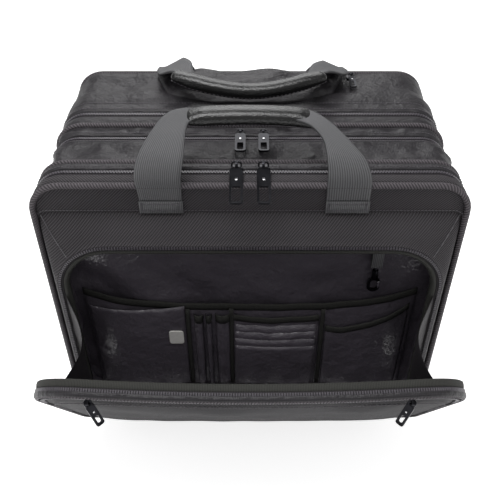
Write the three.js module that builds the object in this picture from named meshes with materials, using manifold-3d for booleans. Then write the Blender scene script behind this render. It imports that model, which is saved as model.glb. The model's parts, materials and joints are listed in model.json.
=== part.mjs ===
// A soft-sided rolling pilot case: three zipped compartments, one behind the other, a front organiser pocket
// with a drop-down lid, two webbing carry handles, and a two-stage trolley handle with two wheels at the back.
// Millimetres. X runs left to right, -Y is the front of the case and +Z is up; the case stands on z = 0.
// It is built with the organiser lid part open and every zip on the case itself closed.
import * as THREE from "three";
import { ConvexGeometry } from "three/addons/geometries/ConvexGeometry.js";
import { mergeVertices } from "three/addons/utils/BufferGeometryUtils.js";
import Module from "manifold-3d";

// ---- Driving dimensions ----
const caseWidth = 430;
const caseHeight = 332; // bottom of the shells to the top of the front and rear sections
const topCornerRadius = 34;
const bottomCornerRadius = 26;
const wall = 4; // padded fabric wall
const gap = 0.4; // clearance between pieces that touch
const floorClearance = 16; // floor to the underside of the base plate
const plateThickness = 4;

// depths, counted back from the front piping; each follows the one before it
const frontSectionDepth = 21.5; // front piping to front zip
const frontZipToPiping = 19; // front zip to the computer section's piping
const computerPipingToZip = 51.5;
const middleZipToPiping = 23.5;
const filePipingToZip = 23.5;
const rearSectionDepth = 106; // rear zip to rear piping
const computerPipingDepth = frontSectionDepth + frontZipToPiping;
const middleZipDepth = computerPipingDepth + computerPipingToZip;
const filePipingDepth = middleZipDepth + middleZipToPiping;
const rearZipDepth = filePipingDepth + filePipingToZip;
const caseDepth = rearZipDepth + rearSectionDepth; // front piping to rear piping
const middleInset = 4; // the two middle sections are this much smaller all round
const pipingRadius = 3.2;

// organiser pocket and its lid
const frameRise = 20; // how far the sloped pocket frame stands out from the front panel
const frameTopDrop = 36; // top of the case to the top edge of the sloped frame
const frameSideMargin = 5;
const pocketWidth = 400;
const pocketTopDrop = 62;
const pocketBottomRise = 18; // bottom of the shells to the lid's hinge line
const pocketCornerRadius = 58;
const pocketLowerRadius = 22;
const pocketLip = 4;
const organiserMargin = 18; // side of the lid's opening to the pockets sewn behind it
const lidDepth = 16;
const lidPanel = 3;
const lidRestAngle = THREE.MathUtils.degToRad(31.5);
const lidPocketBulge = 13;

// webbing handles
const strapWidth = 40;
const strapThickness = 2.6;
const strapSpread = 90; // half the distance between the feet of a handle
const frontStrapReach = 72; // the same, where the straps meet the grip
const rearStrapReach = 84;

// wheels
const wheelRadius = 31;
const wheelWidth = 24;
const hubRadius = 20.5;
const axleRadius = 3;
const wheelInset = 33; // side of the case to the middle of the wheel
const wheelFromBack = 24; // rear piping to the axle
const housingWall = 5;
const housingHeight = 64;
const wheelClearance = 3.5;

// trolley handle
const tubeSpacing = 96;
const sleeveSize = [26, 17];
const tubeWall = 1.2;
const tubeClearance = 0.45;
const trolleyGripWidth = 116;
const trolleyGripDepth = 22;
const wellDepth = 30; // top of the case to the guide that the tubes run through
const buttonSize = [26, 11, 7];
const buttonTravel = 3;

// zip pulls: length, width, thickness
const largePull = [43, 13.5, 2];
const mediumPull = [33, 11.5, 2];
const smallPull = [24, 8, 1.8];

// ---- Places worked out from the driving dimensions ----
const shellBottom = floorClearance + plateThickness + gap;
const top = shellBottom + caseHeight;
const frontY = -caseDepth / 2;
const rearY = caseDepth / 2;
const fromFront = (depth) => frontY + depth;
const frontFace = frontY + pipingRadius + gap;
const rearFace = rearY - pipingRadius - gap;
const frontZipY = fromFront(frontSectionDepth);
const middleZipY = fromFront(middleZipDepth);
const rearZipY = fromFront(rearZipDepth);
const rimY = frontFace - frameRise;
const hingeZ = shellBottom + pocketBottomRise;
const pocketTop = top - pocketTopDrop;
const lidHeight = pocketTop - hingeZ;
const middleTop = top - middleInset;

// ---- Colours ----
const finish = (color, roughness, metalness = 0) => new THREE.MeshStandardMaterial({ color, roughness, metalness });
const twill = finish(0x242226, 0.85);
const smoothFabric = finish(0x2b292d, 0.7);
const webbing = finish(0x3a3a3c, 0.8);
const leather = finish(0x1c1c1d, 0.45);
const lining = finish(0x161518, 0.55);
const blackPlastic = finish(0x151515, 0.5);
const rubber = finish(0x202022, 0.8);
const gunmetal = finish(0x55565a, 0.3, 1);
const aluminium = finish(0x8d9094, 0.35, 1);
const steel = finish(0xb4b6b8, 0.3, 1);

// ---- Joining and cutting ----
const wasm = await Module();
wasm.setup();

function toSolid(geometry) {
  const bare = geometry.index ? geometry.toNonIndexed() : geometry.clone();
  bare.deleteAttribute("normal");
  bare.deleteAttribute("uv");
  const merged = mergeVertices(bare, 1e-4);
  const vertProperties = merged.attributes.position.array;
  return new wasm.Manifold(new wasm.Mesh({ numProp: 3, vertProperties, triVerts: new Uint32Array(merged.index.array) }));
}

function toGeometry(solid) {
  const mesh = solid.getMesh();
  const geometry = new THREE.BufferGeometry();
  geometry.setAttribute("position", new THREE.BufferAttribute(mesh.vertProperties, mesh.numProp));
  geometry.setIndex(new THREE.BufferAttribute(mesh.triVerts, 1));
  return geometry;
}

const join = (first, ...others) => toGeometry(others.reduce((sum, g) => sum.add(toSolid(g)), toSolid(first)));
const cut = (body, ...tools) => toGeometry(tools.reduce((rest, g) => rest.subtract(toSolid(g)), toSolid(body)));

// ---- Shape helpers ----
const arcSteps = 7;

// A rectangle with rounded corners; upper and lower corners may differ.
function roundedRect(x0, x1, z0, z1, upper, lower = upper) {
  const shape = new THREE.Shape();
  shape.moveTo(x0 + lower, z0);
  shape.lineTo(x1 - lower, z0);
  shape.absarc(x1 - lower, z0 + lower, lower, -Math.PI / 2, 0);
  shape.lineTo(x1, z1 - upper);
  shape.absarc(x1 - upper, z1 - upper, upper, 0, Math.PI / 2);
  shape.lineTo(x0 + upper, z1);
  shape.absarc(x0 + upper, z1 - upper, upper, Math.PI / 2, Math.PI);
  shape.lineTo(x0, z0 + lower);
  shape.absarc(x0 + lower, z0 + lower, lower, Math.PI, 1.5 * Math.PI);
  return shape;
}

// A shape drawn in X and Z, extruded along Y from y0 to y1.
function slab(shape, y0, y1, curveSegments = arcSteps) {
  const made = new THREE.ExtrudeGeometry(shape, { depth: y1 - y0, bevelEnabled: false, curveSegments });
  return made.rotateX(Math.PI / 2).translate(0, y1, 0);
}

// A shape drawn in X and Y, extruded up from z0 to z1.
function plate(shape, z0, z1, curveSegments = 4) {
  const made = new THREE.ExtrudeGeometry(shape, { depth: z1 - z0, bevelEnabled: false, curveSegments });
  return made.translate(0, 0, z0);
}

// A shape drawn in Y and Z, extruded along X from x0 to x1.
function across(shape, x0, x1, curveSegments = 5) {
  const made = new THREE.ExtrudeGeometry(shape, { depth: x1 - x0, bevelEnabled: false, curveSegments });
  return made.applyMatrix4(new THREE.Matrix4().set(0, 0, 1, x0, 1, 0, 0, 0, 0, 1, 0, 0, 0, 0, 0, 1));
}

function box(x0, x1, y0, y1, z0, z1) {
  return new THREE.BoxGeometry(x1 - x0, y1 - y0, z1 - z0).translate((x0 + x1) / 2, (y0 + y1) / 2, (z0 + z1) / 2);
}

function rod(radius, x0, x1, y, z, sides = 16) {
  const made = new THREE.CylinderGeometry(radius, radius, x1 - x0, sides);
  return made.rotateZ(Math.PI / 2).translate((x0 + x1) / 2, y, z);
}

// Outline of the case, taken in by an inset.
function caseOutline(inset = 0) {
  const half = caseWidth / 2 - inset;
  return roundedRect(-half, half, shellBottom + inset, top - inset, topCornerRadius - inset, bottomCornerRadius - inset);
}

// Outline of the organiser opening, from its own hinge line up.
function pocketOutline(inset = 0) {
  const half = pocketWidth / 2 - inset;
  return roundedRect(-half, half, inset, lidHeight - inset, pocketCornerRadius - inset, pocketLowerRadius - inset);
}

// ---- The scene graph: one group for each rigid body ----
const model = new THREE.Group();
const group = (parent, x = 0, y = 0, z = 0) => {
  const made = new THREE.Group();
  made.position.set(x, y, z);
  parent.add(made);
  return made;
};
const add = (parent, name, geometry, material) => {
  const mesh = new THREE.Mesh(geometry, material);
  mesh.name = name;
  parent.add(mesh);
};
const mirrorX = (geometry, side) => {
  const made = geometry.clone();
  if (side > 0) return made;
  made.scale(-1, 1, 1);
  const bare = made.index ? made.toNonIndexed() : made;
  const p = bare.attributes.position.array;
  for (let i = 0; i < p.length; i += 9)
    for (let k = 0; k < 3; k++) [p[i + 3 + k], p[i + 6 + k]] = [p[i + 6 + k], p[i + 3 + k]];
  return bare;
};
const sides = [["left", -1], ["right", 1]];

// A ring of welting that follows the case's outline.
function pipingRing(y, radius) {
  const outer = caseOutline(0);
  const inner = caseOutline(2 * radius);
  outer.holes.push(new THREE.Path(inner.getPoints(arcSteps)));
  const flat = 0.8 * radius;
  const bevel = radius - flat / 2 - 0.6;
  const made = new THREE.ExtrudeGeometry(outer, { depth: flat, bevelThickness: bevel, bevelSize: bevel,
    bevelOffset: -bevel, bevelSegments: 1, curveSegments: arcSteps });
  return made.rotateX(Math.PI / 2).translate(0, y + flat / 2, 0);
}

// ---- Base plate and feet ----
const wheelX = caseWidth / 2 - wheelInset;
const wheelY = rearY - wheelFromBack;
const housingInner = wheelX - wheelWidth / 2 - wheelClearance - housingWall;
const housingOuter = caseWidth / 2 - 1.5;
const housingFront = wheelY - wheelRadius - wheelClearance - housingWall;
const housingTop = floorClearance + housingHeight;

const plateOutline = roundedRect(-caseWidth / 2 + 14, caseWidth / 2 - 14, frontFace + 8, rearFace - 2, 14);
const housingCorner = (side, clear, z0 = 0, z1 = housingTop + clear) => {
  const x = [side * (housingInner - clear), side * (caseWidth / 2 + 5)].sort((a, b) => a - b);
  return box(x[0], x[1], housingFront - clear, rearY + 20, z0, z1);
};
add(model, "base_plate", cut(plate(plateOutline, floorClearance, floorClearance + plateThickness),
  housingCorner(-1, gap), housingCorner(1, gap)), blackPlastic);

const footProfile = [[0, 0], [11, 0], [13, 3], [13, floorClearance - gap], [0, floorClearance - gap]];
for (const [name, side] of sides) {
  const foot = new THREE.LatheGeometry(footProfile.map(([r, z]) => new THREE.Vector2(r, z)), 16);
  add(model, `foot_${name}`, foot.rotateX(Math.PI / 2).translate(side * 150, frontY + 38, 0), rubber);
}

// ---- Rear section: a tub with a bay for the trolley handle ----
const bayHalf = 68;
const bayFront = rearFace - wall - 33;
const bayBack = rearFace - wall;
const rearOuter = slab(caseOutline(), rearZipY + gap / 2, rearFace);
const rearCavity = cut(slab(caseOutline(wall), rearZipY - 1, rearFace - wall),
  box(-bayHalf - 2, bayHalf + 2, bayFront - 2, rearY, 0, top + 1),
  housingCorner(-1, gap + 3, 0, housingTop + gap + 3), housingCorner(1, gap + 3, 0, housingTop + gap + 3));
const bayCavity = box(-bayHalf, bayHalf, bayFront, bayBack, shellBottom + wall, top + 1);
add(model, "rear_shell", cut(rearOuter, rearCavity, bayCavity, housingCorner(-1, gap), housingCorner(1, gap)), smoothFabric);
add(model, "rear_piping", cut(pipingRing(rearY, pipingRadius), box(-caseWidth, caseWidth, 0, caseDepth, 0, housingTop + gap)), twill);

// ---- Wheels in their corner housings ----
for (const [name, side] of sides) {
  const profile = new THREE.Shape();
  profile.moveTo(housingFront, floorClearance + plateThickness);
  profile.lineTo(housingFront + 12, floorClearance);
  profile.lineTo(rearY - 2, floorClearance);
  profile.quadraticCurveTo(rearY + 3, floorClearance, rearY + 3, floorClearance + 6);
  profile.lineTo(rearY + 3, housingTop - 8);
  profile.quadraticCurveTo(rearY + 3, housingTop, rearY - 5, housingTop);
  profile.lineTo(housingFront, housingTop);
  const wellHalf = wheelWidth / 2 + wheelClearance;
  const well = rod(wheelRadius + wheelClearance, wheelX - wellHalf, wheelX + wellHalf, wheelY, wheelRadius, 28);
  const wellMouth = box(wheelX - wellHalf, wheelX + wellHalf, wheelY, rearY + 20, -5, wheelRadius + 14);
  const bore = rod(axleRadius + gap, wheelX - wellHalf - 4, wheelX + wellHalf + 4, wheelY, wheelRadius);
  const housing = cut(across(profile, housingInner, housingOuter), well, wellMouth, bore);
  add(model, `wheel_housing_${name}`, mirrorX(housing, side), blackPlastic);
  const axleHalf = wellHalf + 3.5;
  add(model, `wheel_axle_${name}`, rod(axleRadius, side * wheelX - axleHalf, side * wheelX + axleHalf, wheelY, wheelRadius), steel);

  const spin = group(model, side * wheelX, wheelY, wheelRadius);
  const half = wheelWidth / 2;
  const ring = (points) => new THREE.LatheGeometry(points.map(([r, x]) => new THREE.Vector2(r, x)), 28).rotateZ(Math.PI / 2);
  const tyreInner = hubRadius + gap;
  add(spin, `wheel_tyre_${name}`, ring([[tyreInner, -half + 2], [wheelRadius - 5, -half], [wheelRadius, -half + 6],
    [wheelRadius, half - 6], [wheelRadius - 5, half], [tyreInner, half - 2], [tyreInner, -half + 2]]), rubber);
  const boreRadius = axleRadius + gap;
  add(spin, `wheel_hub_${name}`, ring([[boreRadius, -half + 1], [8, -half + 1], [10, -half + 6], [hubRadius - 3, -half + 6],
    [hubRadius, -half + 3], [hubRadius, half - 3], [hubRadius - 3, half - 6], [10, half - 6], [8, half - 1],
    [boreRadius, half - 1], [boreRadius, -half + 1]]), blackPlastic);
}

// ---- Trolley handle ----
const tubeY = (bayFront + bayBack) / 2;
const guideTop = top - wellDepth;
const guideThickness = 6;
const trolleyTravel = 262;
const gripBottom = guideTop + 3;
const gripTop = top - 4;
const sized = ([w, d], less) => [w - less, d - less];
const middleSize = sized(sleeveSize, 2 * (tubeWall + tubeClearance));
const innerSize = sized(middleSize, 2 * (tubeWall + tubeClearance));
const tubeSection = ([w, d], inset = 0, radius = 3) => {
  const r = Math.max(radius - inset, 0.6);
  return roundedRect(-w / 2 + inset, w / 2 - inset, -d / 2 + inset, d / 2 - inset, r);
};
function tube(size, z0, z1, x) {
  const outer = tubeSection(size);
  outer.holes.push(new THREE.Path(tubeSection(size, tubeWall).getPoints(2)));
  return plate(outer, z0, z1, 2).translate(x, tubeY, 0);
}
const socket = (size, x) => plate(tubeSection([size[0] + 2 * gap, size[1] + 2 * gap]), guideTop - 20, guideTop + 5, 2)
  .translate(x, tubeY, 0);
const guidePlate = plate(roundedRect(-bayHalf + gap, bayHalf - gap, bayFront + gap, bayBack - gap, 4),
  guideTop - guideThickness, guideTop);
add(model, "trolley_guide", cut(guidePlate, socket(middleSize, -tubeSpacing / 2), socket(middleSize, tubeSpacing / 2)), blackPlastic);
const sleeveBottom = shellBottom + wall + gap;
const middleStage = group(model);
const topStage = group(middleStage);
for (const [name, side] of sides) {
  const x = side * tubeSpacing / 2;
  add(model, `trolley_sleeve_${name}`, tube(sleeveSize, sleeveBottom, guideTop - guideThickness - gap, x), aluminium);
  add(middleStage, `trolley_middle_tube_${name}`, tube(middleSize, sleeveBottom + 3, guideTop + 1, x), aluminium);
  add(topStage, `trolley_inner_tube_${name}`, tube(innerSize, sleeveBottom + 6, gripBottom - gap, x), aluminium);
}
const gripHalf = trolleyGripWidth / 2;
const gripOutline = roundedRect(-gripHalf, gripHalf, gripBottom, gripTop, 9, 3);
const fingerGap = roundedRect(-tubeSpacing / 2 + 13, tubeSpacing / 2 - 13, gripBottom - 5, gripTop - 14, 4);
const buttonY = [tubeY - buttonSize[1] / 2, tubeY + buttonSize[1] / 2];
const buttonTop = gripTop + 1.5;
const buttonPocket = box(-buttonSize[0] / 2 - gap, buttonSize[0] / 2 + gap, buttonY[0] - gap, buttonY[1] + gap,
  buttonTop - buttonSize[2] - buttonTravel - gap, top + 5);
add(topStage, "trolley_grip", cut(slab(gripOutline, tubeY - trolleyGripDepth / 2, tubeY + trolleyGripDepth / 2, 4),
  slab(fingerGap, tubeY - 20, tubeY + 20, 3), buttonPocket), blackPlastic);
const buttonBody = roundedRect(-buttonSize[0] / 2, buttonSize[0] / 2, buttonY[0], buttonY[1], 2);
add(group(topStage), "trolley_button", plate(buttonBody, buttonTop - buttonSize[2], buttonTop, 2), rubber);

// Soft cover zipped over the trolley handle: a rounded tongue that runs forward from the rear edge.
const coverHalf = 112;
const coverFrontHalf = 84;
const coverFront = rearY - 84;
const coverBack = rearY - 2 * pipingRadius - 1;
const coverShape = new THREE.Shape();
coverShape.moveTo(coverHalf, coverBack);
coverShape.quadraticCurveTo(coverHalf - 4, coverFront + 26, coverFrontHalf, coverFront + 6);
coverShape.quadraticCurveTo(coverFrontHalf - 12, coverFront, coverFrontHalf - 30, coverFront);
coverShape.lineTo(-coverFrontHalf + 30, coverFront);
coverShape.quadraticCurveTo(-coverFrontHalf + 12, coverFront, -coverFrontHalf, coverFront + 6);
coverShape.quadraticCurveTo(-coverHalf + 4, coverFront + 26, -coverHalf, coverBack);
coverShape.lineTo(coverHalf, coverBack);
add(model, "handle_cover", plate(coverShape, top + gap, top + gap + 5), smoothFabric);

// ---- The two middle sections: open rings, each with its own divider panel ----
function ringSection(parent, name, y0, y1, pipingY, dividerName, dividerY) {
  const shell = slab(caseOutline(middleInset), y0, y1);
  const ridge = slab(caseOutline(0), pipingY - pipingRadius, pipingY + pipingRadius);
  add(parent, name, cut(join(shell, ridge), slab(caseOutline(middleInset + wall), y0 - 1, y1 + 1)), smoothFabric);
  add(parent, dividerName, slab(caseOutline(middleInset + wall + gap), dividerY, dividerY + 3), lining);
}
const fileSection = group(model);
ringSection(fileSection, "file_shell", middleZipY + gap / 2, rearZipY - gap / 2, fromFront(filePipingDepth), "file_divider", rearZipY - 6);
const computerSection = group(fileSection);
ringSection(computerSection, "computer_shell", frontZipY + gap / 2, middleZipY - gap / 2, fromFront(computerPipingDepth),
  "laptop_divider", middleZipY - 6);

// ---- Front section: shallow tub with the sloped frame of the organiser pocket ----
const frontSection = group(computerSection);
const frontRing = slab(caseOutline(), frontFace, frontZipY - gap / 2);
const frameFoot = roundedRect(-caseWidth / 2 + frameSideMargin, caseWidth / 2 - frameSideMargin,
  shellBottom + 6, top - frameTopDrop, 12, bottomCornerRadius);
const frameRim = pocketOutline();
const onPlane = (shape, y, lift = 0) => shape.getPoints(arcSteps).map((p) => new THREE.Vector3(p.x, y, p.y + lift));
const frame = new ConvexGeometry([...onPlane(frameFoot, frontFace + 1), ...onPlane(frameRim, rimY, hingeZ)]);
const pocketHole = slab(pocketOutline(pocketLip), rimY - 5, frontFace + wall + 1).translate(0, 0, hingeZ);
add(frontSection, "front_shell", cut(join(frontRing, frame), slab(caseOutline(wall), frontFace + wall, frontZipY + 1), pocketHole), twill);
add(frontSection, "front_piping", pipingRing(frontY, pipingRadius), twill);

const organiserBack = frontZipY - 1;
const organiserFace = organiserBack - 3;
add(frontSection, "organiser_panel", slab(caseOutline(wall + gap), organiserFace, organiserBack), lining);

// An open-topped pouch: a front sheet with closed sides and bottom, and room behind it.
function pouch(x0, x1, z0, z1, backY, room, sheet = 1.5) {
  const front = backY - gap - room - sheet;
  return cut(box(x0, x1, front, backY - gap, z0, z1), box(x0 + 2, x1 - 2, front + sheet, backY + 1, z0 + 2, z1 + 1));
}
const slipRoom = 7;
const slipTop = top - 157;
const slipFace = organiserFace - gap - slipRoom - 1.5;
const slipBottom = hingeZ + 10;
const organiserHalf = pocketWidth / 2 - organiserMargin;
const slipPocket = pouch(-organiserHalf, organiserHalf, slipBottom, slipTop, organiserFace, slipRoom);
const mediaPocket = pouch(-organiserHalf + 6, -72, slipBottom + 8, slipTop - 27, slipFace + gap + 0.2, 6);
const sidePocket = pouch(88, organiserHalf - 6, slipBottom + 4, slipTop - 36, slipFace + gap + 0.2, 8);
const cardPocket = box(-20, 77, slipFace - 3, slipFace + 0.3, slipBottom + 12, slipTop - 25);
add(frontSection, "organiser_slip_pocket", join(slipPocket, mediaPocket, sidePocket, cardPocket), lining);

// Key clip: a sewn tab, a hook that turns on it and a sprung gate across the hook's mouth.
const keyX = organiserHalf - 48;
const keyY = organiserFace - gap - 8.5;
const tabBottom = top - 112;
const hookRadius = 7;
const hookBar = 1.5;
const hookZ = tabBottom - 23;
add(frontSection, "key_tab", cut(box(keyX - 6, keyX + 6, keyY - 3, organiserFace - gap, tabBottom, top - 84),
  box(keyX - 7, keyX + 7, keyY + 3, organiserFace + 1, tabBottom - 1, top - 92),
  plate(roundedRect(-1.6, 1.6, -1.6, 1.6, 1.5), tabBottom - 5, tabBottom + 12).translate(keyX, keyY, 0)), webbing);
const keyClip = group(frontSection, keyX, keyY, 0);
const hookRing = cut(slab(roundedRect(-hookRadius, hookRadius, -hookRadius - 5, hookRadius, 6.9), -hookBar, hookBar),
  slab(roundedRect(-hookRadius + 3, hookRadius - 3, -hookRadius - 2, hookRadius - 3, 3.8), -9, 9),
  box(2.2, hookRadius + 1, -9, 9, -7.5, 2.5)).translate(0, 0, hookZ);
const hookNeck = new THREE.CylinderGeometry(3, 4, 12, 14).rotateX(Math.PI / 2).translate(0, 0, tabBottom - 11);
const hookPin = new THREE.CylinderGeometry(1.2, 1.2, 13, 10).rotateX(Math.PI / 2).translate(0, 0, tabBottom - 1.5);
add(keyClip, "key_clip_hook", join(hookRing, hookNeck, hookPin), blackPlastic);
const gateTop = hookZ + 2.5 - gap;
add(group(keyClip), "key_clip_gate", box(4.2, 6.4, -1.4, 1.4, hookZ - 7.5 + gap, gateTop), steel);

// ---- Organiser lid, hinged along its lower edge and standing part open ----
const lid = group(frontSection, 0, rimY - gap, hingeZ);
lid.rotation.x = lidRestAngle;
const lidTray = cut(slab(pocketOutline(), -lidDepth, 0), slab(pocketOutline(pocketLip), -lidDepth + lidPanel, 1));
add(lid, "lid_shell", lidTray, twill);
const lidPocketHalf = pocketWidth / 2 - 28;
const lidPocketTop = lidHeight - 17;
const lidPocketOutline = roundedRect(-lidPocketHalf + 12, lidPocketHalf - 12, 30, lidPocketTop - 12, 24);
const lidPocket = new THREE.ExtrudeGeometry(lidPocketOutline, { depth: 2, bevelThickness: lidPocketBulge - 2, bevelSize: 12,
  bevelSegments: 2, curveSegments: 4 });
const lidPocketFlat = -lidDepth - gap - 1;
add(lid, "lid_outer_pocket", cut(lidPocket.rotateX(Math.PI / 2).translate(0, lidPocketFlat, 0),
  box(-220, 220, -lidDepth - gap, 50, -50, 400)), leather);

// Folded fabric webs that stop the lid at each side.
const webReach = 176;
const webFoot = 34;
const lidPoint = (along) => [rimY - gap - along * Math.sin(lidRestAngle), hingeZ + along * Math.cos(lidRestAngle)];
for (const [name, side] of sides) {
  const web = new THREE.Shape();
  const corners = [[rimY - 3, hingeZ + webFoot], lidPoint(webFoot + 12), lidPoint(webReach), [rimY - 3, hingeZ + webReach]];
  const inward = [0, 2.5, 2.5, 0];
  corners.forEach(([y, z], i) => (i ? web.lineTo(y + inward[i], z) : web.moveTo(y, z)));
  const x = side * (pocketWidth / 2 - 12);
  add(frontSection, `pocket_web_${name}`, across(web, x - 0.8, x + 0.8), lining);
}

// ---- Carry handles ----
// A flat strap whose side view follows a curve; it leans inwards from its foot to the grip.
function strap(points, footX, gripX) {
  const line = new THREE.CatmullRomCurve3(points.map(([y, z]) => new THREE.Vector3(0, y, z)));
  const steps = 14;
  const left = [];
  const right = [];
  for (let i = 0; i <= steps; i++) {
    const p = line.getPoint(i / steps);
    const t = line.getTangent(i / steps);
    const n = [-t.z * strapThickness / 2, t.y * strapThickness / 2];
    left.push(new THREE.Vector2(p.y + n[0], p.z + n[1]));
    right.unshift(new THREE.Vector2(p.y - n[0], p.z - n[1]));
  }
  const made = across(new THREE.Shape([...left, ...right]), footX - strapWidth / 2, footX + strapWidth / 2);
  const [footZ, gripZ] = [points[0][1], points[points.length - 1][1]];
  const lean = (gripX - footX) / (gripZ - footZ);
  return made.applyMatrix4(new THREE.Matrix4().set(1, 0, lean, -lean * footZ, 0, 1, 0, 0, 0, 0, 1, 0, 0, 0, 0, 1));
}
// A padded grip of oval section along a shallow curve through three points.
function carryGrip(endX, endY, endZ, middleY, middleZ, width, thickness) {
  const path = new THREE.CatmullRomCurve3([[-endX, endY, endZ], [-endX / 2, (endY + 3 * middleY) / 4, (endZ + 3 * middleZ) / 4],
    [0, middleY, middleZ], [endX / 2, (endY + 3 * middleY) / 4, (endZ + 3 * middleZ) / 4],
    [endX, endY, endZ]].map((p) => new THREE.Vector3(...p)));
  const oval = new THREE.Shape();
  oval.absellipse(0, 0, width / 2, thickness / 2, 0, 2 * Math.PI);
  return new THREE.ExtrudeGeometry(oval, { steps: 12, bevelEnabled: false, extrudePath: path, curveSegments: 5 });
}
const handleFootDrop = 33; // top of the case to the line that a handle turns about
const frontHandle = group(frontSection);
const strapOut = pipingRadius + gap + strapThickness / 2 + 0.6;
const frontGrip = [frontY + 50, top + 41];
const frontStrapPath = [[frontFace - 2.4, top - handleFootDrop], [frontY - strapOut, top - 8], [frontY - strapOut, top + 10],
  [frontY + 8, top + 32], [frontGrip[0] - 12, frontGrip[1] + 1]];
for (const [name, side] of sides)
  add(frontHandle, `front_strap_${name}`, strap(frontStrapPath, side * strapSpread, side * frontStrapReach), webbing);
add(frontHandle, "front_grip", carryGrip(64, frontGrip[0], frontGrip[1], frontGrip[0] + 2, frontGrip[1] + 3, 22, 16), leather);

const rearHandle = group(model);
const rearGripEnd = [frontY + 162, top + 30];
const rearGripMiddle = [frontY + 148, top + 20];
const rearStrapPath = [[rearFace + 2.4, top - handleFootDrop], [rearY + strapOut, top - 8], [rearY + strapOut - 1, top + 12],
  [rearY - 20, top + 38], [rearY - 44, top + 42], [rearGripEnd[0] + 11.5, rearGripEnd[1] + 4]];
for (const [name, side] of sides)
  add(rearHandle, `rear_strap_${name}`, strap(rearStrapPath, side * strapSpread, side * rearStrapReach), webbing);
add(rearHandle, "rear_grip", carryGrip(79, rearGripEnd[0], rearGripEnd[1], rearGripMiddle[0], rearGripMiddle[1], 20, 16), leather);

// ---- Zip sliders and their pulls ----
const sliderBody = [11, 8.5, 3.4];
const lugRadius = 3;
const lugHole = 1.7;
const lugThickness = 2.6;
const lugLift = 2.8; // slider's top face to the pull's axis
const pullAxis = sliderBody[2] + lugLift;
function sliderGeometry() {
  const [length, width, height] = sliderBody;
  const body = plate(roundedRect(-length / 2, length / 2, -width / 2, width / 2, 2), 0, height, 2);
  const lug = new THREE.CylinderGeometry(lugRadius, lugRadius, lugThickness, 14).rotateZ(Math.PI / 2).translate(0, 0, pullAxis);
  const neck = box(-lugThickness / 2, lugThickness / 2, -lugRadius, lugRadius, height - 1, pullAxis);
  return cut(join(body, lug, neck), rod(lugHole, -5, 5, 0, pullAxis, 14));
}
// A flat pull that hangs from its own axis: one window round the slider's lug and one to hold it by.
function pullGeometry([length, width, thickness]) {
  const bar = thickness / 2;
  const outline = roundedRect(-width / 2, width / 2, -length + bar, bar, 2.2);
  const lugWindow = roundedRect(-width / 2 + 1.8, width / 2 - 1.8, -5.6, -bar, 0.8);
  const holdWindow = roundedRect(-width / 2 + 2, width / 2 - 2, -length + 2.5, -length * 0.6, 1.5);
  outline.holes.push(new THREE.Path(lugWindow.getPoints(2)), new THREE.Path(holdWindow.getPoints(2)));
  return slab(outline, -thickness / 2, thickness / 2, 2);
}
// The slider sits at a place on the case with its own turn; the pull swings from it about the slider's X axis.
function zipSlider(parent, name, place, turn, size, pullAngle) {
  const slider = group(parent, ...place);
  slider.rotation.set(...turn, "YXZ");
  add(slider, `${name}_slider`, sliderGeometry(), gunmetal);
  const pull = group(slider, 0, 0, pullAxis);
  pull.rotation.x = pullAngle;
  add(pull, `${name}_pull`, pullGeometry(size), gunmetal);
}
const lying = -Math.PI / 2; // a pull at this angle lies forward along the surface
const degrees = THREE.MathUtils.degToRad;
for (const [name, side] of sides) {
  zipSlider(frontSection, `front_zip_${name}`, [side * 13, frontZipY, top + gap], [0, 0, 0], largePull, lying + degrees(10));
  zipSlider(computerSection, `middle_zip_${name}`, [side * 12 + 2, middleZipY, middleTop + gap], [0, 0, 0], mediumPull,
    lying + degrees(2));
}
for (const [name, side] of sides)
  zipSlider(lid, `lid_pocket_${name}`, [side * (lidPocketHalf - 31), -lidDepth - gap, lidHeight - 9], [Math.PI / 2, 0, 0], smallPull,
    lying - lidRestAngle);
zipSlider(model, "cover_zip", [coverHalf + 9, rearY - 24, top + gap], [0, 0, 0], smallPull, lying + degrees(8));
zipSlider(fileSection, "rear_zip", [34, rearZipY, top + gap], [0, 0, 0], mediumPull, lying + degrees(2));

// The origin goes under the middle of everything, on the floor.
const bounds = new THREE.Box3().setFromObject(model, true);
model.position.y = -(bounds.min.y + bounds.max.y) / 2;

export default model;
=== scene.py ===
import json
import math
import bmesh
import bpy
from mathutils import Matrix, Vector, noise


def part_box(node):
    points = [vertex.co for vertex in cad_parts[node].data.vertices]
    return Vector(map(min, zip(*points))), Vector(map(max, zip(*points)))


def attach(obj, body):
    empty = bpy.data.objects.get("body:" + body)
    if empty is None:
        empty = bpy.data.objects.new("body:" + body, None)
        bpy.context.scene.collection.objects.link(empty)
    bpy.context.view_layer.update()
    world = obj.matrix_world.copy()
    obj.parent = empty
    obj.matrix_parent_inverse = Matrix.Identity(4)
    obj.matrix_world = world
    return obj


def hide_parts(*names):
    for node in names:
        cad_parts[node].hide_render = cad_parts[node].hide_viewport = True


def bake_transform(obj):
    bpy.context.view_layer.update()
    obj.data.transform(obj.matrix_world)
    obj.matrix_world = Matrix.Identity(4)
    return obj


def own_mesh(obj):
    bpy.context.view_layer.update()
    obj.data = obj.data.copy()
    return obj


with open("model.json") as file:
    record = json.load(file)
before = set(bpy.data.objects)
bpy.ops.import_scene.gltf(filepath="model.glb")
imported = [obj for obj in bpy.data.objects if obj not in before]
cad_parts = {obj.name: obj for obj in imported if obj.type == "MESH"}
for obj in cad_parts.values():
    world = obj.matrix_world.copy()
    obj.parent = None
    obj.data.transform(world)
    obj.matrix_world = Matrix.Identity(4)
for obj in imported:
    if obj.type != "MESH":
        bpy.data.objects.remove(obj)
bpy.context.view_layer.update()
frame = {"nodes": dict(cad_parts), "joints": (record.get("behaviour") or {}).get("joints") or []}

scene = bpy.context.scene

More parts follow.
